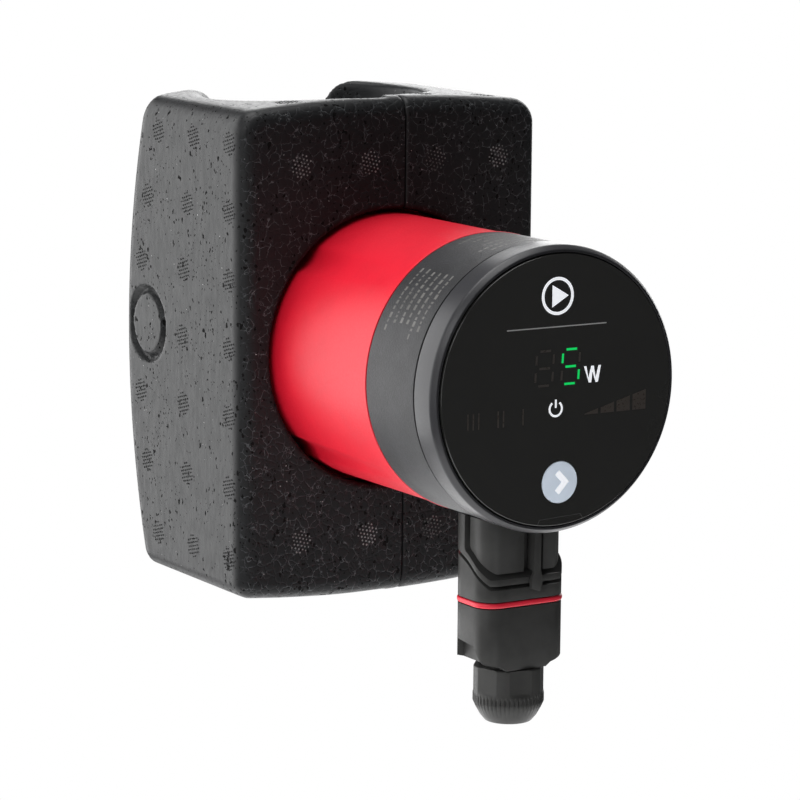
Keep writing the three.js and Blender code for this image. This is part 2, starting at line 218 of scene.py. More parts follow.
def wavy_point(material, stretch, waver):
    """The point on the object, pushed about by noise of up to waver metres."""
    push = add_node(material, "ShaderNodeTexNoise")
    push.inputs["Scale"].default_value = 500
    link(material, object_point(material), push.inputs["Vector"])
    scale = add_node(material, "ShaderNodeVectorMath", operation="SCALE")
    scale.inputs["Scale"].default_value = waver
    link(material, push.outputs["Color"], scale.inputs[0])
    total = add_node(material, "ShaderNodeVectorMath", operation="ADD")
    link(material, object_point(material, stretch), total.inputs[0])
    link(material, scale.outputs["Vector"], total.inputs[1])
    return total.outputs["Vector"]


def cells(material, scale, feature="F1", stretch=(1, 1, 1), waver=0.0):
    texture = add_node(material, "ShaderNodeTexVoronoi", feature=feature)
    texture.inputs["Scale"].default_value = scale
    place = wavy_point(material, stretch, waver) if waver else object_point(material, stretch)
    link(material, place, texture.inputs["Vector"])
    return texture.outputs["Distance"]


def remap(material, value, low, high, to_low=0.0, to_high=1.0):
    node = add_node(material, "ShaderNodeMapRange", interpolation_type="SMOOTHSTEP")
    node.inputs["From Min"].default_value = low
    node.inputs["From Max"].default_value = high
    node.inputs["To Min"].default_value = to_low
    node.inputs["To Max"].default_value = to_high
    link(material, value, node.inputs["Value"])
    return node.outputs["Result"]


def arithmetic(material, operation, first, second):
    node = add_node(material, "ShaderNodeMath", operation=operation)
    for socket, value in zip(node.inputs, (first, second)):
        if isinstance(value, (int, float)):
            socket.default_value = value
        else:
            link(material, value, socket)
    return node.outputs["Value"]


def mixed_colour(material, factor, first, second):
    """A colour between two, each a tuple or another mix."""
    node = add_node(material, "ShaderNodeMix", data_type="RGBA")
    link(material, factor, node.inputs["Factor"])
    for socket, value in ((node.inputs[6], first), (node.inputs[7], second)):
        if isinstance(value, tuple):
            socket.default_value = (*value, 1)
        else:
            link(material, value, socket)
    return node.outputs[2]


def bump(material, height, strength, distance):
    node = add_node(material, "ShaderNodeBump")
    node.inputs["Strength"].default_value = strength
    node.inputs["Distance"].default_value = distance
    link(material, height, node.inputs["Height"])
    return node.outputs["Normal"]


def finish_shader(material, colour, roughness=None, normal=None):
    shader = material.node_tree.nodes["Principled BSDF"]
    for socket, value in (("Base Color", colour), ("Roughness", roughness), ("Normal", normal)):
        if value is not None:
            link(material, value, shader.inputs[socket])


def scaled(colour, factor):
    return tuple(channel * factor for channel in colour)


def grained(name, colour, roughness, metallic, grain, variation, depth, **sockets):
    """A moulded, cast, ground or painted surface: fine grain, mottled colour and uneven gloss."""
    material = new_material(name, colour, roughness, metallic, **sockets)
    broad = remap(material, noise(material, grain / 12, 3), 0.3, 0.7)
    fine = noise(material, grain, 5)
    tone = mixed_colour(material, broad, scaled(colour, 1 - variation), scaled(colour, 1 + variation))
    gloss = remap(material, fine, 0.3, 0.7, roughness * 0.88, min(1, roughness * 1.12))
    finish_shader(material, tone, gloss, bump(material, fine, 0.6, depth))
    return material


def facing_front(material):
    """1 where a surface faces along the motor axis, and 0 on the sides, top and bottom."""
    place = add_node(material, "ShaderNodeTexCoord")
    split = add_node(material, "ShaderNodeSeparateXYZ")
    link(material, place.outputs["Normal"], split.inputs["Vector"])
    along = arithmetic(material, "ABSOLUTE", split.outputs["Y"], 0.0)
    return remap(material, along, 0.45, 0.9)


def foam_pits(material, ragged):
    """1 in the small hollows between beads, which the foam paints near black as painted shade: some large
    ones in patches, and many fine ones.
    """
    size = remap(material, noise(material, 200, 3), 0.42, 0.66, 0.42, 0.8)
    edge = arithmetic(material, "ADD", cells(material, 520, stretch=(1, 1, 0.7)), ragged)
    large = arithmetic(material, "LESS_THAN", edge, size)
    fine_size = remap(material, noise(material, 90, 2), 0.35, 0.65, 0.5, 0.68)
    fine_edge = arithmetic(material, "ADD", cells(material, 900, stretch=(1, 1, 0.7)), ragged)
    fine = arithmetic(material, "LESS_THAN", fine_edge, fine_size)
    return arithmetic(material, "MAXIMUM", large, fine)


def foam_material():
    """Black expanded polypropylene: welded beads, pale flecks, and small pits where beads don't meet. The
    weld lines are painted pale only on faces along the motor axis, as painted glints, and the pits are
    painted near black, as painted shade.
    """
    material = new_material("foam", (0.009, 0.009, 0.01), 0.42, IOR=1.305)
    front = facing_front(material)
    ragged = noise(material, 1000, 3)
    bead = cells(material, 350, "DISTANCE_TO_EDGE", waver=0.0022)
    weld_line = arithmetic(material, "ADD", bead, arithmetic(material, "MULTIPLY", ragged, 0.08))
    # Painted glints: the weld lines get a pale colour only in patches on faces along the motor axis.
    painted_light_patch = arithmetic(material, "MULTIPLY", remap(material, noise(material, 330, 4), 0.4, 0.58), front)
    weld_and_glint = arithmetic(material, "MULTIPLY", remap(material, weld_line, 0.04, 0.075, 1, 0), painted_light_patch)
    fleck_edge = arithmetic(material, "ADD", cells(material, 560), ragged)
    fleck = arithmetic(material, "LESS_THAN", fleck_edge, 0.46)
    pit_and_shade = foam_pits(material, ragged)
    streak = noise(material, 620, 4, stretch=(1, 1, 0.3))
    tone = mixed_colour(material, streak, (0.004, 0.0044, 0.0052), (0.010, 0.0106, 0.0115))
    tone = mixed_colour(material, weld_and_glint, tone, (0.075, 0.08, 0.085))
    tone = mixed_colour(material, fleck, tone, (0.26, 0.26, 0.26))
    # Painted shade: the pits between beads are coloured near black, on top of their real sunk bump and rough
    # gloss.
    tone = mixed_colour(material, pit_and_shade, tone, (0.0008, 0.0008, 0.0008))
    gloss = remap(material, streak, 0.3, 0.7, 0.38, 0.48)
    gloss = arithmetic(material, "MAXIMUM", gloss, pit_and_shade)
    gloss = arithmetic(material, "MAXIMUM", gloss, arithmetic(material, "MULTIPLY", front, 0.6))
    bead_rise = arithmetic(material, "MULTIPLY", remap(material, bead, 0.0, 0.16), front)
    height = arithmetic(material, "ADD", bead_rise, arithmetic(material, "MULTIPLY", ragged, 0.6))
    height = arithmetic(material, "ADD", height, arithmetic(material, "MULTIPLY", streak, 0.5))
    height = arithmetic(material, "SUBTRACT", height, arithmetic(material, "MULTIPLY", pit_and_shade, 4))
    finish_shader(material, tone, gloss, bump(material, height, 0.75, 0.00009))
    return material


def pip_material():
    """The vent marks' pips: painted pale on the front and back as painted light, dull black on the other
    faces.
    """
    material = new_material("foam_pips", (0.02, 0.02, 0.02), 0.7, IOR=1.2)
    front = facing_front(material)
    painted_light_patch = remap(material, noise(material, 60, 3), 0.35, 0.6, 0.3, 1)
    # Painted light: the pips are pale in patches on faces along the motor axis and black on the others.
    painted_front_light = arithmetic(material, "MULTIPLY", front, painted_light_patch)
    tone = mixed_colour(material, painted_front_light, (0.006, 0.006, 0.006), (0.22, 0.22, 0.22))
    finish_shader(material, tone, remap(material, front, 0, 1, 0.8, 0.6))
    return material


def wound_copper():
    """Enamelled wire laid in turns."""
    material = new_material("copper", (0.5, 0.14, 0.05), 0.3, 0.9)
    wave = add_node(material, "ShaderNodeTexWave", bands_direction="Y")
    wave.inputs["Scale"].default_value = 420
    link(material, object_point(material), wave.inputs["Vector"])
    tone = mixed_colour(material, wave.outputs["Fac"], (0.16, 0.04, 0.015), (0.62, 0.2, 0.08))
    finish_shader(material, tone, None, bump(material, wave.outputs["Fac"], 1, 0.0002))
    return material


def glowing(name, colour, light):
    """A lamp that gives a little light of its own, or a print made to glow a little as painted light that
    brightens it.
    """
    material = new_material(name, colour, 0.4)
    shader = material.node_tree.nodes["Principled BSDF"]
    shader.inputs["Emission Color"].default_value = (*light, 1)
    shader.inputs["Emission Strength"].default_value = 1.0
    grain = noise(material, 1500, 2)
    finish_shader(material, mixed_colour(material, grain, scaled(colour, 0.9), colour))
    return material


# Colour, roughness, metal, grain per metre, mottling, and depth of the grain in metres.
GRAINED = {
    "cast_iron": ((0.045, 0.048, 0.052), 0.5, 0.5, 700, 0.3, 0.00012),
    "red_paint": ((0.60, 0.006, 0.022), 0.46, 0, 1600, 0.03, 0.000012),
    "dark_plastic": ((0.026, 0.026, 0.028), 0.45, 0, 1900, 0.14, 0.00018),
    "bezel_plastic": ((0.027, 0.027, 0.03), 0.34, 0, 1500, 0.02, 0.000001),
    "plug_plastic": ((0.04, 0.04, 0.039), 0.38, 0, 1300, 0.12, 0.000012),
    "black_glass": ((0.0165, 0.0165, 0.0158), 0.06, 0, 300, 0.02, 0.0000004),
    "pale_button": ((0.74, 0.83, 0.95), 0.35, 0, 1200, 0.03, 0.000004),
    "red_rubber": ((0.66, 0.012, 0.035), 0.45, 0, 900, 0.06, 0.00001),
    "black_rubber": ((0.012, 0.012, 0.012), 0.6, 0, 900, 0.1, 0.00002),
    "stainless": ((0.55, 0.56, 0.57), 0.3, 1, 1500, 0.08, 0.00001),
    "steel": ((0.32, 0.33, 0.34), 0.34, 1, 1100, 0.12, 0.00002),
    "ceramic": ((0.75, 0.72, 0.65), 0.35, 0, 1400, 0.04, 0.00001),
    "carbon": ((0.02, 0.02, 0.022), 0.5, 0, 1400, 0.15, 0.00002),
    "composite": ((0.6, 0.57, 0.5), 0.5, 0, 900, 0.08, 0.00003),
    "board": ((0.012, 0.09, 0.035), 0.4, 0, 500, 0.15, 0.00003),
    "component": ((0.018, 0.018, 0.02), 0.45, 0, 1200, 0.15, 0.00002),
    "brass": ((0.52, 0.34, 0.07), 0.3, 1, 1200, 0.06, 0.00001),
    "grey_print": ((0.30, 0.30, 0.30), 0.5, 0, 1500, 0.05, 0.000002),
    "faint_print": ((0.036, 0.03, 0.026), 0.3, 0, 1500, 0.05, 0.000002),
    "tab_print": ((0.05, 0.05, 0.05), 0.4, 0, 1500, 0.05, 0.000002),
    "segment_off": ((0.034, 0.029, 0.026), 0.3, 0, 1500, 0.05, 0.000002),
    "laser_mark": ((0.09, 0.088, 0.083), 0.6, 0, 2200, 0.2, 0.00001),
    "floor": ((0.86, 0.86, 0.86), 0.8, 0, 60, 0.01, 0.00005),
}
# Shader settings that some of them add.
SURFACES = {
    "red_paint": {"IOR": 1.38, "Coat_Weight": 0.05, "Coat_Roughness": 0.3},
    "dark_plastic": {"IOR": 1.33},
    "bezel_plastic": {"IOR": 1.36},
    "plug_plastic": {"IOR": 1.24},
}
FINISH = {name: grained(name, *values, **SURFACES.get(name, {})) for name, values in GRAINED.items()}
FINISH["foam"] = foam_material()
FINISH["pips"] = pip_material()
FINISH["copper"] = wound_copper()
# The white print glows a little: painted light that brightens the print, which is no lamp.
FINISH["white_print"] = glowing("white_print", (0.86, 0.87, 0.9), (0.34, 0.35, 0.37))
FINISH["segment_lit"] = glowing("segment_lit", (0.0, 0.3, 0.06), (0.0, 0.45, 0.08))


# --- Mesh building ---

def make_piece(name, points, faces, finish, crease=40):
    """An object from points in millimetres, welded, with its faces pointing out."""
    shape = bmesh.new()
    vertices = [shape.verts.new(Vector(point) * MM) for point in points]
    for face in faces:
        shape.faces.new([vertices[index] for index in face])
    bmesh.ops.remove_doubles(shape, verts=shape.verts, dist=2e-6)
    bmesh.ops.recalc_face_normals(shape, faces=shape.faces)
    mesh = bpy.data.meshes.new(name)
    shape.to_mesh(mesh)
    shape.free()
    piece = bpy.data.objects.new(name, mesh)
    bpy.context.scene.collection.objects.link(piece)
    mesh.materials.append(FINISH[finish])
    shade(mesh, crease)
    return piece


def shade(mesh, crease):
    mesh.shade_smooth()
    mesh.set_sharp_from_angle(angle=math.radians(crease))


def belongs(piece, body, nodes=()):
    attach(piece, body)
    if nodes:
        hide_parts(*nodes)
    return piece


def bake_modifiers(piece):
    """Turns the piece's modifiers into its mesh."""
    graph = bpy.context.evaluated_depsgraph_get()
    mesh = bpy.data.meshes.new_from_object(piece.evaluated_get(graph))
    piece.modifiers.clear()
    piece.data = mesh
    shade(mesh, 40)


def combine(piece, other, operation="DIFFERENCE"):
    """A boolean with another piece, which is used up."""
    modifier = piece.modifiers.new("combine", "BOOLEAN")
    modifier.operation = operation
    modifier.object = other
    bake_modifiers(piece)
    bpy.data.objects.remove(other)


def soften(piece, width):
    """Rounds the sharp edges."""
    modifier = piece.modifiers.new("soften", "BEVEL")
    modifier.width = width * MM
    modifier.segments = 2
    modifier.limit_method = "ANGLE"
    modifier.angle_limit = math.radians(35)
    bake_modifiers(piece)


def filleted(corners):
    """An outline from (a, b, radius) corners, each rounded to its radius."""
    outline = []
    count = len(corners)
    for index, (a, b, radius) in enumerate(corners):
        here = Vector((a, b))
        before = Vector(corners[index - 1][:2]) - here
        after = Vector(corners[(index + 1) % count][:2]) - here
        if radius == 0:
            outline.append(here)
            continue
        half = before.angle(after) / 2
        reach = radius / math.tan(half)
        start = here + before.normalized() * reach
        end = here + after.normalized() * reach
        for step in range(FILLET_STEPS + 1):
            share = step / FILLET_STEPS
            outline.append(start.lerp(here, share).lerp(here.lerp(end, share), share))
    return [(point.x, point.y) for point in outline]


def wrapped(rows, name, finish, crease=40):
    """A closed skin over rows of points: every row is a loop, and the last row meets the first."""
    count = len(rows[0])
    points = [point for row in rows for point in row]
    faces = []
    for row in range(len(rows)):
        below = (row + 1) % len(rows)
        for step in range(count):
            after = (step + 1) % count
            face = [row * count + step, row * count + after, below * count + after, below * count + step]
            faces.append(face)
    return make_piece(name, points, faces, finish, crease)


def turned(name, corners, finish, centre=(0, 0), axis="Y", steps=ROUND_STEPS, reshape=None):
    """A ring turned about an axis along Y, or about one along Z, from (radius, height, fillet) corners."""
    rows = []
    for radius, height in filleted(corners):
        row = []
        for step in range(steps):
            angle = TURN * step / steps
            r, h = (radius, height) if reshape is None else reshape(radius, height, angle)
            a = centre[0] + r * math.cos(angle)
            b = centre[1] + r * math.sin(angle)
            row.append((a, h, b) if axis == "Y" else (a, b, h))
        rows.append(row)
    return wrapped(rows, name, finish)


def plate(name, loop, y0, y1, finish):
    """A solid with one outline in X and Z, from y0 to y1."""
    return prism(name, [(x, y0, z) for x, z in loop], (0, y1 - y0, 0), finish)


def prism(name, loop, depth, finish):
    """A solid swept straight from a closed loop of points."""
    count = len(loop)
    far = [tuple(np.add(point, depth)) for point in loop]
    sides = []
    for step in range(count):
        after = (step + 1) % count
        sides.append([step, after, count + after, count + step])
    caps = [list(range(count)), list(range(count, 2 * count))]
    return make_piece(name, loop + far, sides + caps, finish)


def circle(radius, centre=(0, 0), steps=96):
    points = []
    for step in range(steps):
        angle = TURN * step / steps
        points.append((centre[0] + radius * math.cos(angle), centre[1] + radius * math.sin(angle)))
    return points


def rounded_rectangle(x_size, y_size, radius):
    """A loop about the plug's axis, in X and Y."""
    loop = []
    steps = 10
    corners = ((1, 1, 0), (-1, 1, 1), (-1, -1, 2), (1, -1, 3))
    for x_side, y_side, quarter in corners:
        for step in range(steps + 1):
            angle = (quarter + step / steps) * TURN / 4
            x = x_side * (x_size / 2 - radius) + radius * math.cos(angle)
            y = y_side * (y_size / 2 - radius) + radius * math.sin(angle)
            loop.append((x, PLUG_Y + y))
    return loop


def joined(name, parts, finish):
    """Several pieces as one object of separate solids."""
    points = []
    faces = []
    for part in parts:
        start = len(points)
        points += [vertex.co / MM for vertex in part.data.vertices]
        faces += [[start + index for index in face.vertices] for face in part.data.polygons]
        bpy.data.objects.remove(part)
    return make_piece(name, points, faces, finish)


# --- Distance fields, for foam and castings ---

def rounded_overlap(first, second, radius):
    """Where both fields are inside, with the edge between them rounded."""
    inside = np.minimum(np.maximum(first, second), -radius)
    outside = np.hypot(np.maximum(first + radius, 0), np.maximum(second + radius, 0))
    return inside + outside


def carved(field, cutter, radius):
    return rounded_overlap(field, -cutter, radius)


def rounded_union(first, second, radius):
    return -rounded_overlap(-first, -second, radius)


def field_points(low, high, step):
    axes = [np.arange(low[i] - 3 * step, high[i] + 3 * step, step, dtype=np.float32) for i in range(3)]
    return np.meshgrid(*axes, indexing="ij", sparse=True)


def skinned(name, field, low, step, finish):
    """A mesh of the surface where the field is zero."""
    grid = openvdb.FloatGrid(3 * step)
    grid.copyFromArray(np.ascontiguousarray(np.clip(field, -3 * step, 3 * step), dtype=np.float32))
    points, _, quads = grid.convertToPolygons(isovalue=0.0, adaptivity=0.0)
    corner = np.array([value - 3 * step for value in low])
    mesh = bpy.data.meshes.new(name)
    mesh.from_pydata((points * step + corner) * MM, [], quads[:, ::-1].tolist())
    mesh.materials.append(FINISH[finish])
    piece = bpy.data.objects.new(name, mesh)
    bpy.context.scene.collection.objects.link(piece)
    shade(mesh, 50)
    return piece


def foam_field(x, y, z):
    """The whole foam block with its hollows, before it is split."""
    side = np.abs(x) - SHELL_HIGH.x
    top = np.abs(z) + TOP_ARCH * x**2 - SHELL_HIGH.z
    front = SHELL_LOW.y - y
    pull = 1 - BACK_PULL * (np.abs(x) / SHELL_HIGH.x) ** 5
    slope = np.sqrt(1 + (2 * BACK_CURVE * z) ** 2)
    back = (y - (SHELL_HIGH.y - BACK_CURVE * z**2) * pull) / slope
    block = rounded_overlap(side, top, np.where(z > 0, TOP_SIDE_R, BOTTOM_SIDE_R))
    block = rounded_overlap(block, front, FRONT_EDGE_R)
    block = rounded_overlap(block, back, BACK_EDGE_R)
    from_motor_axis = np.hypot(x, z)
    from_pipe_axis = np.hypot(x, y)
    cavity = np.maximum(from_motor_axis - CAVITY_R, np.abs(y - CAVITY_Y) - CAVITY_HALF_DEPTH)
    motor_hole = np.maximum(from_motor_axis - MOTOR_HOLE_R, y - MOTOR_HOLE_BACK_Y)
    neck_hole = from_pipe_axis - NECK_HOLE_R
    from_notch = np.hypot(x - NOTCH_CENTRE[0], y - NOTCH_CENTRE[1])
    notch = np.maximum(from_notch - NOTCH_R, NOTCH_FLOOR_Z - np.abs(z))
    disc_ring = np.abs(np.hypot(y - DISC_Y, z - DISC_Z) - DISC_R) - DISC_GROOVE_HALF_WIDTH
    disc_groove = np.maximum(disc_ring, x - SHELL_LOW.x - DISC_GROOVE_DEPTH)
    block = carved(block, notch, np.where(x < 0, LEFT_RIM_R, RIGHT_RIM_R))
    block = carved(block, cavity, 2)
    block = carved(block, motor_hole, 1.3)
    block = carved(block, neck_hole, 1.3)
    return carved(block, disc_groove, 0.5)


def make_foam_half(name, node, low_x, high_x, side):
    low = (low_x, SHELL_LOW.y, SHELL_LOW.z)
    high = (high_x, SHELL_HIGH.y, SHELL_HIGH.z)
    x, y, z = field_points(low, high, FOAM_STEP)
    half = np.maximum(foam_field(x, y, z), side * (x - SEAM_X) + SEAM_GAP / 2)
    piece = skinned(name, half, low, FOAM_STEP, "foam")
    return belongs(piece, name, [node])


def vent_spots():
    """Where the mould's steam vents left their marks: a point outside the foam and the way to it."""
    spots = []
    for z in SIDE_MARK_ROWS:
        for column, share in SIDE_MARK_COLUMNS:
            if column > 20 and abs(z) < 10:
                continue  # The disc is here.
            y = column - share * BACK_CURVE * z**2
            for side in (-1, 1):
                spots.append((Vector((side * 70, y, z)), Vector((-side, 0, 0))))
    for x in FRONT_MARK_COLUMNS:
        for z in FRONT_MARK_ROWS:
            spots.append((Vector((x, -60, z)), Vector((0, 1, 0))))
        for side in (-1, 1):
            spots.append((Vector((x, END_MARK_Y, side * 95)), Vector((0, 0, -side))))
    return spots


def make_vent_marks(name, foam, body):
    """Clusters of tiny raised pips, laid on the foam where it is met."""
    tree = BVHTree.FromObject(foam, bpy.context.evaluated_depsgraph_get())
    rng = random.Random(7)
    points = []
    faces = []
    for start, way in vent_spots():
        across = way.orthogonal().normalized()
        along = way.cross(across)
        for row in range(-3, 4):
            for column in range(-3, 4):
                u = (column + 0.5 * (row % 2)) * PIP_PITCH + rng.uniform(-0.08, 0.08)
                v = row * PIP_PITCH * 0.87 + rng.uniform(-0.08, 0.08)
                if math.hypot(u, v) > MARK_R:
                    continue
                origin = start + across * u + along * v
                hit, normal, _, distance = tree.ray_cast(origin * MM, way, 0.06)
                if hit is not None and distance < 0.045:
                    add_pip(points, faces, hit / MM, normal, rng.uniform(0.25, 0.34))
    belongs(make_piece(name, points, faces, "pips"), body)


def add_pip(points, faces, foot, normal, radius):
    """One low dome of two rings and a tip, its foot a little under the surface."""
    across = normal.orthogonal().normalized()
    along = normal.cross(across)
    start = len(points)
    sides = 6
    for reach, rise in ((1.0, -0.1), (0.75, 0.2)):
        for step in range(sides):
            angle = TURN * step / sides
            spoke = across * math.cos(angle) + along * math.sin(angle)
            points.append(foot + spoke * radius * reach + normal * rise)
    points.append(foot + normal * 0.32)
    points.append(foot - normal * 0.1)
    for step in range(sides):
        after = (step + 1) % sides
        faces.append([start + step, start + after, start + sides + after, start + sides + step])
        faces.append([start + sides + step, start + sides + after, start + 2 * sides])
        faces.append([start + after, start + step, start + 2 * sides + 1])


def make_cast_housing():
    """The iron volute with its two ports, which shows in the union recesses and when the foam is off."""
    low, high = box_mm("pump_housing")
    x, y, z = field_points(low, high, CAST_STEP)
    from_motor_axis = np.hypot(x, z)
    from_pipe_axis = np.hypot(x, y)
    flange = np.maximum(from_motor_axis - high.x, np.maximum(low.y - y, y + 10))
    back = (y - high.y) + np.maximum(from_motor_axis - 29, 0) * 0.75
    volute = np.maximum(rounded_overlap(from_motor_axis - VOLUTE_R, back * 0.8, 4), low.y - y)
    necks = np.maximum(from_pipe_axis - NECK_R, np.abs(z) - PORT_Z + 3)
    collars = rounded_overlap(from_pipe_axis - NECK_COLLAR_R, np.abs(np.abs(z) - NECK_COLLAR_Z) - 2.5, 0.8)
    casting = rounded_union(rounded_union(flange, volute, 2.5), necks, 5)
    casting = np.minimum(casting, collars)
    bores = np.maximum(from_pipe_axis - PORT_BORE_R, 25 - np.abs(z))
    casting = carved(casting, bores, 0.8)
    for degrees in SCREW_ANGLES:
        screw_x, screw_z = screw_centre(degrees)
        hole = np.hypot(x - screw_x, z - screw_z) - 2.6
        casting = carved(casting, np.maximum(hole, y + 7.4), 0.3)
    piece = skinned("cast_volute", casting, low, CAST_STEP, "cast_iron")
    belongs(piece, "pump", ["pump_housing"])
    for side, name in ((1, "top_port_thread"), (-1, "bottom_port_thread")):
        belongs(make_port_thread(name, side), "pump")


def screw_centre(degrees):
    angle = math.radians(degrees)
    return SCREW_CIRCLE_R * math.cos(angle), SCREW_CIRCLE_R * math.sin(angle)


def make_port_thread(name, side):
    """The G1 pipe thread: a ring whose outer skin follows a helix."""
    root = PORT_R - THREAD_DEPTH
    rows = []
    heights = np.linspace(THREAD_START_Z, PORT_Z, 64)
    steps = 96
    for height in heights:
        row = []
        for step in range(steps):
            phase = (height / THREAD_PITCH + side * step / steps) % 1
            tooth = min(1, max(0, 1.5 - 3.2 * abs(phase - 0.5)))
            run_out = min(1, (PORT_Z - height) / 1.2)
            radius = root + THREAD_DEPTH * tooth * run_out
            row.append(round_point(radius, side * height, step / steps))
        rows.append(row)
    bore = ((PORT_BORE_R + 0.6, PORT_Z), (PORT_BORE_R, PORT_Z - 0.6), (PORT_BORE_R, THREAD_START_Z))
    for radius, height in bore:
        rows.append([round_point(radius, side * height, step / steps) for step in range(steps)])
    return wrapped(rows, name, "cast_iron", 60)


def round_point(radius, height, share):
    return (radius * math.cos(TURN * share), radius * math.sin(TURN * share), height)


# --- Motor and head ---

def scalloped(radius, y, angle):
    """The motor's skin, drawn in by the four screw grooves that fade towards the display."""
    if radius < 36 or y > -22.5 or y < SHELL_LOW.y - SCALLOP_FADE - 6:
        return radius, y
    nearest = min(abs((angle - math.radians(degrees) + math.pi) % TURN - math.pi) for degrees in SCREW_ANGLES)
    depth = SCALLOP_DEPTH * (1 + (y - SHELL_LOW.y) / SCALLOP_FADE)
    centre = MOTOR_R - depth + SCALLOP_R
    reach = SCALLOP_R**2 - (centre * math.sin(nearest)) ** 2
    if reach <= 0:
        return radius, y
    groove = centre * math.cos(nearest) - math.sqrt(reach)
    softness = 1.2
    gap = max(softness - abs(radius - groove), 0) / softness
    return min(radius, groove) - gap * gap * softness / 4, y


def make_stator_housing():
    front, back = STATOR_Y
    floor_y = -27
    back_bore_r = 19.4
    lip = front + 0.8
    corners = [
        (STATOR_BORE_R, front, 0), (MOTOR_R + 0.4, front, 0.25), (MOTOR_R + 0.4, lip, 0.2),
        (MOTOR_R, lip + 0.25, 0.2),
    ]
    rows = 56
    for row in range(rows + 1):
        corners.append((MOTOR_R, lip + 1 + (FLANGE_FRONT_Y - 0.5 - lip - 1) * row / rows, 0))
    corners += [
        (MOTOR_R, FLANGE_FRONT_Y, 0), (FLANGE_R, FLANGE_FRONT_Y, 0.8), (FLANGE_R, back, 0.4),
        (back_bore_r, back, 0), (back_bore_r, floor_y, 0), (STATOR_BORE_R, floor_y, 0),
    ]
    piece = turned("motor_body", corners, "red_paint", steps=360, reshape=scalloped)
    belongs(piece, "pump", ["stator_housing"])


def make_control_housing():
    front, back = CONTROL_Y
    corners = [
        (CONTROL_R, back, 0.25), (CONTROL_R, front + 0.7, 0.2), (CONTROL_R - 2, front + 0.7, 0),
        (CONTROL_R - 2, front, 0), (CONTROL_R - 3.5, front, 0), (CONTROL_R - 3.5, back - 2.5, 0),
        (17, back - 2.5, 0), (17, back, 0),
    ]
    piece = turned("control_case", corners, "dark_plastic")
    belongs(piece, "pump", ["control_housing"])
    make_laser_marks()


def make_laser_marks():
    """The type plate's place: rows of plain dashes in the case, with no lettering in them."""
    rng = random.Random(11)
    points = []
    faces = []
    lift = 0.03
    block_faces = [[0, 1, 2, 3], [4, 5, 6, 7], [0, 1, 5, 4], [1, 2, 6, 5], [2, 3, 7, 6], [3, 0, 4, 7]]
    for row in range(6):
        y = CONTROL_Y[1] - 4.2 - row * 3.3
        for block_start, block_end in ((126, 160), (82, 112)):
            angle = block_start + rng.uniform(0, 3)
            while angle < block_end - rng.uniform(0, 9):
                length = rng.uniform(0.7, 2.6)
                height = rng.uniform(0.7, 1.25)
                start = len(points)
                end = angle + length
                for radius in (CONTROL_R + lift, CONTROL_R - 0.1):
                    for drop, degrees in ((0, angle), (height, angle), (height, end), (0, end)):
                        turn = math.radians(degrees)
                        points.append((radius * math.cos(turn), y - drop, radius * math.sin(turn)))
                faces += [[start + index for index in face] for face in block_faces]
                angle += length + rng.uniform(0.5, 1.3)
    belongs(make_piece("laser_marks", points, faces, "laser_mark"), "pump")


def make_bezel():
    front, back = BEZEL_Y
    corners = [
        (BEZEL_R, back, 0.25), (BEZEL_R, front + 1.7, 1.6), (BEZEL_R - 1.3, front, 0.6),
        (FACE_R + 1.0, front, 0.2), (FACE_R + 0.45, front, 0.25), (FACE_R + 0.45, front + 1.5, 0),
        (36, front + 1.5, 0),
        (36, front + 3.5, 0), (FACE_R, front + 3.5, 0), (FACE_R, back, 0),
    ]
    piece = turned("bezel", corners, "bezel_plastic")
    belongs(piece, "pump", ["bezel_ring"])


def make_glass():
    corners = [
        (0, FACE_Y, 0), (FACE_R, FACE_Y, 0.3), (FACE_R, FACE_Y + 1.8, 0), (0, FACE_Y + 1.8, 0),
    ]
    piece = turned("display_glass", corners, "black_glass")
    rim = circle(BUTTON_R + 0.12, BUTTON_CENTRE)
    hole = plate("hole", rim, FACE_Y - 1, FACE_Y + 3, "black_glass")
    combine(piece, hole)
    belongs(piece, "pump", ["display_panel"])


def make_button():
    flange_y = -126.6
    back_y = -126
    stem_y = -124.4
    corners = [
        (0, FACE_Y + 0.05, 0), (BUTTON_R, FACE_Y + 0.05, 0.25), (BUTTON_R, flange_y, 0),
        (BUTTON_FLANGE_R, flange_y, 0), (BUTTON_FLANGE_R, back_y, 0),
        (2, back_y, 0), (2, stem_y, 0), (0, stem_y, 0),
    ]
    piece = turned("button_cap", corners, "pale_button", BUTTON_CENTRE, steps=96)
    belongs(piece, "button", ["push_button"])
    line = [(-0.9, 2.9), (1.9, 0.0), (-0.9, -2.9)]
    arrow = stroke("button_arrow", line, 1.75, "white_print", BUTTON_CENTRE, 0.02)
    belongs(arrow, "button")


def stroke(name, path, width, finish, centre=(0, 0), lift=0.03):
    """A thin plate along a line on the face, with mitred corners and square ends."""
    line = [Vector(point) + Vector(centre) for point in path]
    left = []
    right = []
    for index, point in enumerate(line):
        before = (point - line[index - 1]).normalized() if index else None
        after = (line[index + 1] - point).normalized() if index + 1 < len(line) else None
        before = before or after
        after = after or before
        direction = (before + after).normalized()
        reach = width / 2 / max(0.3, direction.dot(after))
        side = Vector((-direction.y, direction.x)) * reach
        left.append(point + side)
        right.append(point - side)
    return shape_on_face(name, [tuple(point) for point in left + right[::-1]], finish, lift)


def shape_on_face(name, loop, finish, lift=0.03):
    return plate(name, loop, FACE_Y - lift, FACE_Y + 0.3, finish)


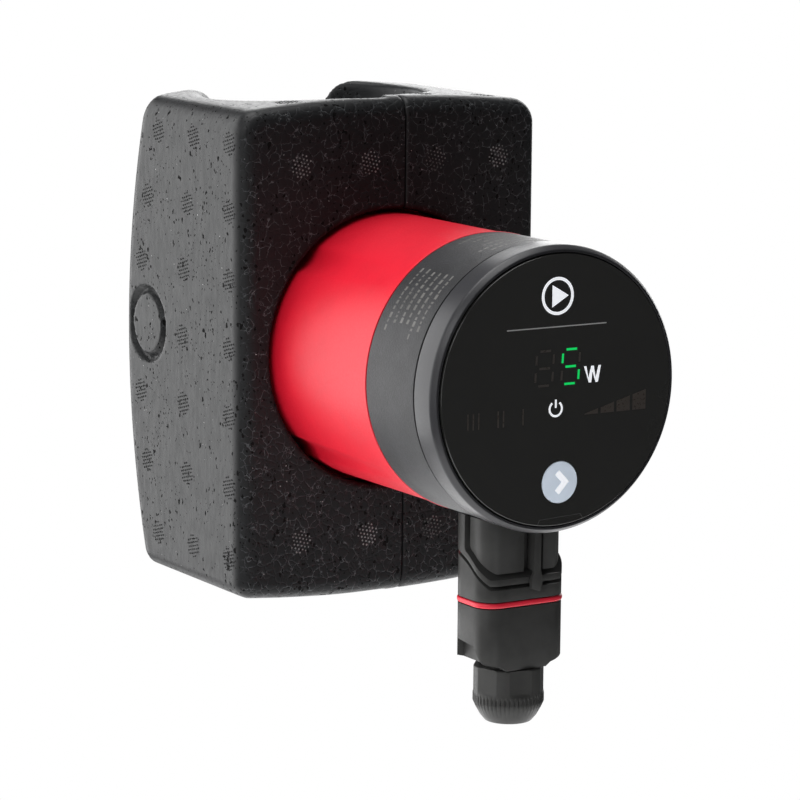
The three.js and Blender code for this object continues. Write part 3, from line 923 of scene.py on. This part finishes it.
def segment_bars(centre, lit):
    """The seven bars of one digit, sorted into lit and unlit."""
    half_x = 2.9
    half_z = 4.95
    trim = 1.1
    lean = 0.06
    ends = {
        "top": ((-half_x + trim, half_z), (half_x - trim, half_z)),
        "middle": ((-half_x + trim, 0), (half_x - trim, 0)),
        "bottom": ((-half_x + trim, -half_z), (half_x - trim, -half_z)),
        "upper_left": ((-half_x, half_z - trim), (-half_x, trim)),
        "upper_right": ((half_x, half_z - trim), (half_x, trim)),
        "lower_left": ((-half_x, -trim), (-half_x, -half_z + trim)),
        "lower_right": ((half_x, -trim), (half_x, -half_z + trim)),
    }
    bars = {True: [], False: []}
    for place, line in ends.items():
        leaning = [(x + lean * z, z) for x, z in line]
        bars[place in lit].append(stroke(place, leaning, 0.66, "segment_off", centre))
    return bars


def on_glass(name, parts, finish):
    belongs(joined(name, parts, finish), "pump")


def make_digits():
    five = ("top", "upper_left", "middle", "lower_right", "bottom")
    left = segment_bars((-4.6, 6.7), ())
    right = segment_bars((4.3, 6.7), five)
    on_glass("digit_bars_lit", right[True], "segment_lit")
    on_glass("digit_bars_unlit", left[False] + right[False], "segment_off")


def make_face_print():
    """The printed marks: a unit, a power sign, a pump sign, and the unlit level and mode bars."""
    power = [(2.1 * math.sin(a), 2.1 * math.cos(a)) for a in np.linspace(0.62, TURN - 0.62, 33)]
    power_ring = stroke("power_ring", power, 0.62, "white_print", POWER_SIGN)
    power_bar = stroke("power_bar", [(0, 2.7), (0, 0.3)], 0.62, "white_print", POWER_SIGN)
    marks = [power_ring, power_bar, unit_letter()] + pump_sign()
    on_glass("white_marks", marks, "white_print")
    rule = stroke("rule", [(-17.5, 18.4), (16.4, 18.4)], 0.32, "grey_print")
    tab = stroke("tab", [(-6.2, -38.3), (-5.6, -37.0), (8.4, -36.4), (9.4, -37.8)], 0.14, "tab_print")
    on_glass("fine_rules", [rule], "grey_print")
    on_glass("film_tab", [tab], "tab_print")
    on_glass("level_ramp", ramp_bars() + mode_bars(), "faint_print")


def unit_letter():
    """The watt sign beside the digits."""
    left = 8.9
    top = 6.3
    foot = 1.5
    bar = 0.85
    step = 2.5
    outline = [
        (left, top), (left + bar, top), (left + bar + 0.75, foot + 1.3),
        (left + step, top), (left + step + bar, top), (left + step + bar + 0.75, foot + 1.3),
        (left + 2 * step, top), (left + 2 * step + bar, top),
        (left + 2 * step - 0.1, foot), (left + 2 * step - 0.1 - bar, foot),
        (left + step + 0.45, top - 1.6), (left + step + 0.1, foot), (left + step + 0.1 - bar, foot),
    ]
    return shape_on_face("unit", outline, "white_print")


def pump_sign():
    """The plain drawing sign for a pump: a ring round a triangle that points along the flow."""
    ring_line = [(5.0 * math.cos(a), 5.0 * math.sin(a)) for a in np.linspace(0, TURN, 65)]
    ring_sign = stroke("sign_ring", ring_line, 0.9, "white_print", PUMP_SIGN)
    corners = circle(3.7, PUMP_SIGN, 3)
    return [ring_sign, shape_on_face("sign_arrow", corners, "white_print")]


def ramp_bars():
    """Four blocks that grow to the right, like a level wedge."""
    bars = []
    base = -7.7
    for index in range(4):
        x0 = 9.4 + index * 5.55
        x1 = x0 + 4.6
        top0 = 0.25 + 1.42 * index
        top1 = top0 + 1.25
        loop = [(x0, base), (x1, base), (x1, base + top1), (x0, base + top0)]
        bars.append(shape_on_face("ramp", loop, "faint_print"))
    return bars


def mode_bars():
    """The fixed-speed marks: three, two and one upright bars."""
    bars = []
    for group_x, count in ((-30.2, 3), (-20.1, 2), (-11.7, 1)):
        for index in range(count):
            x = group_x + index * 1.8
            bars.append(stroke("mode", [(x, -4.3), (x, -9.0)], 0.42, "faint_print"))
    return bars


# --- Socket, plug and gland ---

def edge_line(lift):
    """The slanting edge where socket and plug meet, in Y and Z: level in front, then half a parabola."""
    front = PLUG_Y - PLUG_Y_SIZE / 2
    level = front + EDGE_LEVEL
    length = PLUG_Y_SIZE - EDGE_LEVEL
    low = EDGE_LOW_Z + lift
    line = [(front - 4, low)]
    for share in np.linspace(0, 1, 25):
        line.append((level + length * share, low + EDGE_RISE * share * (2 - share)))
    return line + [(front + PLUG_Y_SIZE + 4, low + EDGE_RISE)]


def above_edge(name, lift, back_y=20):
    """The space above the edge, as far back as back_y behind the plug's middle."""
    line = [(y, z) for y, z in edge_line(lift) if y < PLUG_Y + back_y]
    end_y = min(line[-1][0] + 0.5, PLUG_Y + back_y)
    line += [(end_y, line[-1][1] + 1), (end_y, -30), (line[0][0], -30)]
    x_half = 16
    loop = [(-x_half, y, z) for y, z in line]
    return prism(name, loop, (2 * x_half, 0, 0), "plug_plastic")


def plug_prism(name, x_size, y_size, radius, z0, z1):
    loop = [(x, y, z0) for x, y in rounded_rectangle(x_size, y_size, radius)]
    return prism(name, loop, (0, 0, z1 - z0), "plug_plastic")


def make_socket():
    bottom = SOCKET_LOW.z
    tube = plug_prism("socket_tube", 23.6, 13, 4.3, bottom, SOCKET_HIGH.z)
    combine(tube, plug_prism("recess", 21, 10.4, 3, -70, -50))
    soften(tube, 0.3)
    ridge = plug_prism("socket_ridge", 29.5, 18.6, 5.8, bottom, SOCKET_HIGH.z)
    combine(ridge, above_edge("ridge_part", 1.2), "INTERSECT")
    combine(ridge, above_edge("ridge_inside", 3.1, 1.8))
    corner = [(12.4, -40), (12.4, -46), (13.6, -47.4), (14.5, -49), (14.7, -50.4), (17, -50.4), (17, -40)]
    cutter = plate("ridge_corner", corner, PLUG_Y - 14, PLUG_Y + 14, "plug_plastic")
    combine(ridge, cutter)
    soften(ridge, 0.6)
    boss = plug_prism("socket_boss", 27.6, 17.2, 5.6, bottom, SOCKET_HIGH.z)
    combine(boss, above_edge("boss_part", 4.6, 0.4), "INTERSECT")
    half = 3.3
    slot_loop = [(RIB_X - half, -70), (RIB_X + half, -70), (RIB_X + half, -30), (RIB_X - half, -30)]
    slot = plate("boss_slot", slot_loop, PLUG_Y - 14, PLUG_Y - 6, "plug_plastic")
    combine(boss, slot)
    soften(boss, 0.3)
    parts = [tube, ridge, boss, make_socket_rib()]
    head = circle(CONTROL_R + 0.3, steps=192)
    for part in parts:
        combine(part, plate("head_room", head, -132, -80, "plug_plastic"))
    piece = joined("socket_body", parts, "plug_plastic")
    belongs(piece, "pump", ["power_socket"])


def make_socket_rib():
    """The upright rib in front, whose foot overhangs the plug's collar."""
    front = PLUG_Y - PLUG_Y_SIZE / 2
    stem = [(-1.1, -36), (1.1, -36), (1.1, -55), (-1.1, -55)]
    foot = [
        (-1.1, -54), (1.1, -54), (1.2, -55.3), (1.9, -57.2), (1.6, -59.3), (0.9, -61.2), (-1.9, -60.2),
        (-2.0, -57.6), (-1.1, -55.9),
    ]
    rib = plate("rib", [(RIB_X + x, z) for x, z in stem], front - 1.6, front + 2.4, "plug_plastic")
    heel = plate("heel", [(RIB_X + x, z) for x, z in foot], front - 1.6, front - 0.2, "plug_plastic")
    combine(rib, heel, "UNION")
    soften(rib, 0.25)
    return rib


def make_collar():
    wall = plug_prism("collar", PLUG_X_SIZE, PLUG_Y_SIZE, PLUG_CORNER_R, COLLAR_BOTTOM_Z, -47)
    combine(wall, plug_prism("collar_bore", 26, 15.4, 5.2, -70, -40))
    combine(wall, above_edge("collar_cut", 0))
    soften(wall, 0.3)
    belongs(wall, "plug", ["plug_collar"])


def make_seal():
    low, high = box_mm("plug_seal")
    rows = []
    centre_z = (low.z + high.z) / 2
    half = (high.z - low.z) / 2
    for step in range(16):
        angle = TURN * step / 16
        bulge = abs(math.cos(angle)) ** 0.6 * math.copysign(1, math.cos(angle))
        out = 0.2 if bulge > 0 else -2.5
        x_size = PLUG_X_SIZE + 2 * min(0.2, out + 0.5 * (bulge - 1))
        y_size = x_size - PLUG_X_SIZE + PLUG_Y_SIZE
        z = centre_z + half * math.copysign(abs(math.sin(angle)) ** 0.6, math.sin(angle))
        rows.append([(x, y, z) for x, y in rounded_rectangle(x_size, y_size, PLUG_CORNER_R)])
    belongs(wrapped(rows, "seal_ring", "red_rubber"), "plug", ["plug_seal"])


def make_plug_body():
    foot = PLUG_LOW.z + SPIGOT_LENGTH
    shell = plug_prism("plug_shell", PLUG_X_SIZE, PLUG_Y_SIZE, PLUG_CORNER_R, foot, PLUG_HIGH.z)
    combine(shell, plug_prism("chamber", 21.4, 10.8, 3.2, -80, -60))
    front = PLUG_Y - PLUG_Y_SIZE / 2 - 1
    below = foot - 1
    slope = [(6, -76.2), (-3.4, -77), (-5.4, -80), (-8.8, below), (6, below)]
    slot = [(-16, PLUG_Y + y, z) for y, z in slope]
    combine(shell, prism("latch_slot", slot, (4.2, 0, 0), "plug_plastic"))
    for side in (-1, 1):
        cut = [(side * 5.5, below), (side * 8.5, foot + 1.2), (side * 16, foot + 3.2), (side * 16, below)]
        combine(shell, plate("foot_cut", cut, front, front + 30, "plug_plastic"))
    soften(shell, 0.45)
    corners = [(8, PLUG_LOW.z, 0.4), (8, foot + 1, 0), (6.3, foot + 1, 0), (6.3, PLUG_LOW.z, 0)]
    spigot = turned("spigot", corners, "plug_plastic", (0, PLUG_Y), "Z", 96)
    piece = joined("plug_case", [shell, spigot], "plug_plastic")
    belongs(piece, "plug", ["plug_body"])


def nut_skin(radius, z, angle):
    """Six soft flats on the nut's upper part and fine ribs on a band below them."""
    height = NUT_Z[1] - NUT_Z[0]
    down = (NUT_Z[1] - z) / height
    if radius < NUT_R - 1.6 or down > 0.95:
        return radius, z
    sector = (angle + math.radians(12)) % (TURN / 6) - TURN / 12
    flat = (NUT_R - 0.6) / math.cos(sector)
    upper = min(1, max(0, (0.5 - down) / 0.06))
    if radius > flat:
        radius += (flat - radius) * upper
    band = min(1, max(0, (down - 0.5) / 0.03)) * min(1, max(0, (0.74 - down) / 0.04))
    rib = max(0, math.cos(angle * 48))
    return radius - 0.34 * band * rib, z


def make_gland_nut():
    low, high = NUT_Z
    corners = [(NUT_R, high, 0.5)]
    rows = 22
    grip_top = 1.2
    grip_height = 9.6
    for row in range(rows + 1):
        corners.append((NUT_R, high - grip_top - grip_height * row / rows, 0))
    corners += [
        (9.7, low + 4.1, 0), (8.4, low + 1.8, 0), (6.9, low, 0.5), (4.5, low, 0.3),
        (4.5, low + 2.9, 0), (8.4, low + 2.9, 0), (8.4, high, 0),
    ]
    piece = turned("gland_cap", corners, "plug_plastic", (0, PLUG_Y), "Z", 504, nut_skin)
    belongs(piece, "nut", ["gland_nut"])


# --- Screws and carried-over parts ---

def make_screws():
    """Hexagon-socket screws in the motor's flange."""
    head_y = -27.2
    seat_y = -22.3
    tip_y = -7.8
    for index, degrees in enumerate(SCREW_ANGLES):
        centre = screw_centre(degrees)
        corners = [
            (0, head_y, 0), (SCREW_HEAD_R, head_y, 0.4), (SCREW_HEAD_R, seat_y, 0),
            (SCREW_R, seat_y, 0), (SCREW_R, tip_y, 0.3), (0, tip_y, 0),
        ]
        screw = turned(f"socket_screw_{index + 1}", corners, "steel", centre, steps=48)
        hexagon = plate("hexagon", circle(2.3, centre, 6), -28, -24.9, "steel")
        combine(screw, hexagon)
        belongs(screw, "pump", [f"housing_screw_{index + 1}"])


def dress_cad_nodes():
    """Every node that is carried over takes its slot's finish."""
    for row in frame["record"]["subparts"]:
        node = frame["nodes"][row["node"]]
        for material_slot in node.material_slots:
            material_slot.link = "OBJECT"
            material_slot.material = FINISH[row["material_slot"]]


# --- Stage ---

def make_floor():
    """A pale round floor under the pump, with its own light from just above it."""
    loop = [(x, y, FLOOR_Z) for x, y in circle(FLOOR_R, (0, 0), 128)]
    prism("floor", loop, (0, 0, -12), "floor")
    size = 2 * FLOOR_R * MM
    glow = 4.4 * size * size
    make_light("floor_glow", (0, 0, (FLOOR_Z + 150) * MM), (0, 0.0001, -10), (size, size), glow)


def make_light(name, place, target, size, power):
    data = bpy.data.lights.new(name, "AREA")
    data.shape = "RECTANGLE"
    data.size, data.size_y = size
    data.energy = power
    light = bpy.data.objects.new(name, data)
    light.location = place
    light.rotation_euler = (Vector(target) - Vector(place)).to_track_quat("-Z", "Y").to_euler()
    light.visible_camera = False
    bpy.context.scene.collection.objects.link(light)


def make_world():
    world = bpy.data.worlds.new("studio")
    world.use_nodes = True
    bpy.context.scene.world = world
    tree = world.node_tree
    background = tree.nodes["Background"]
    path = tree.nodes.new("ShaderNodeLightPath")
    level = tree.nodes.new("ShaderNodeMapRange")
    level.inputs["To Min"].default_value = 0.095
    level.inputs["To Max"].default_value = 1.0
    tree.links.new(path.outputs["Is Camera Ray"], level.inputs["Value"])
    tree.links.new(level.outputs["Result"], background.inputs["Strength"])
    background.inputs["Color"].default_value = (1, 1, 1, 1)


def make_lights():
    """Each light: its name, place, target and size in metres, and its power."""
    lights = (
        ("back_left", (-1.1, 1.6, 0.1), (0, 0, 0), (2.6, 2.2), 56),
        ("back_right", (1.3, 1.5, 0.6), (0, 0, 0), (1.6, 1.6), 31),
        ("left_wall", (-1.8, 0.2, 0.4), (0, 0, 0), (1.2, 1.8), 11),
        ("top_box", (-0.1, 0.1, 1.5), (0, 0, 0), (1.2, 1.2), 25),
        ("front_left", (-1.3, -0.9, 1.0), (0, -0.06, 0), (0.7, 0.7), 8.5),
        ("front_strip", (-1.5, -1.0, 0.05), (0, -0.1, 0), (0.5, 0.9), 3.5),
        ("front_low", (-0.3, -1.5, -0.9), (0, -0.06, -0.05), (0.8, 0.6), 3.4),
    )
    for light in lights:
        make_light(*light)


def make_camera():
    """The view from the left of the display and a little above it."""
    azimuth = math.radians(-31.64)
    elevation = math.radians(9.75)
    roll = 0.0086
    distance = 1059.3
    target = Vector((-8.17, -56.91, -12.88))
    back = Vector((
        math.sin(azimuth) * math.cos(elevation),
        -math.cos(azimuth) * math.cos(elevation),
        math.sin(elevation),
    ))
    data = bpy.data.cameras.new("camera")
    data.lens = 158.6
    data.sensor_width = 36
    data.clip_start = 0.01
    camera = bpy.data.objects.new("camera", data)
    aim = back.to_track_quat("Z", "Y").to_matrix() @ Euler((0, 0, roll)).to_matrix()
    camera.rotation_euler = aim.to_euler()
    camera.location = (target + back * distance) * MM
    bpy.context.scene.collection.objects.link(camera)
    bpy.context.scene.camera = camera
    bpy.context.scene.view_settings.view_transform = "Standard"


dress_cad_nodes()
left = make_foam_half("left_shell", "shell_left", SHELL_LOW.x, SEAM_X, 1)
right = make_foam_half("right_shell", "shell_right", SEAM_X, SHELL_HIGH.x, -1)
make_vent_marks("left_vent_marks", left, "left_shell")
make_vent_marks("right_vent_marks", right, "right_shell")
make_cast_housing()
make_stator_housing()
make_screws()
make_control_housing()
make_bezel()
make_glass()
make_button()
make_digits()
make_face_print()
make_socket()
make_collar()
make_seal()
make_plug_body()
make_gland_nut()
make_floor()
make_world()
make_lights()
make_camera()
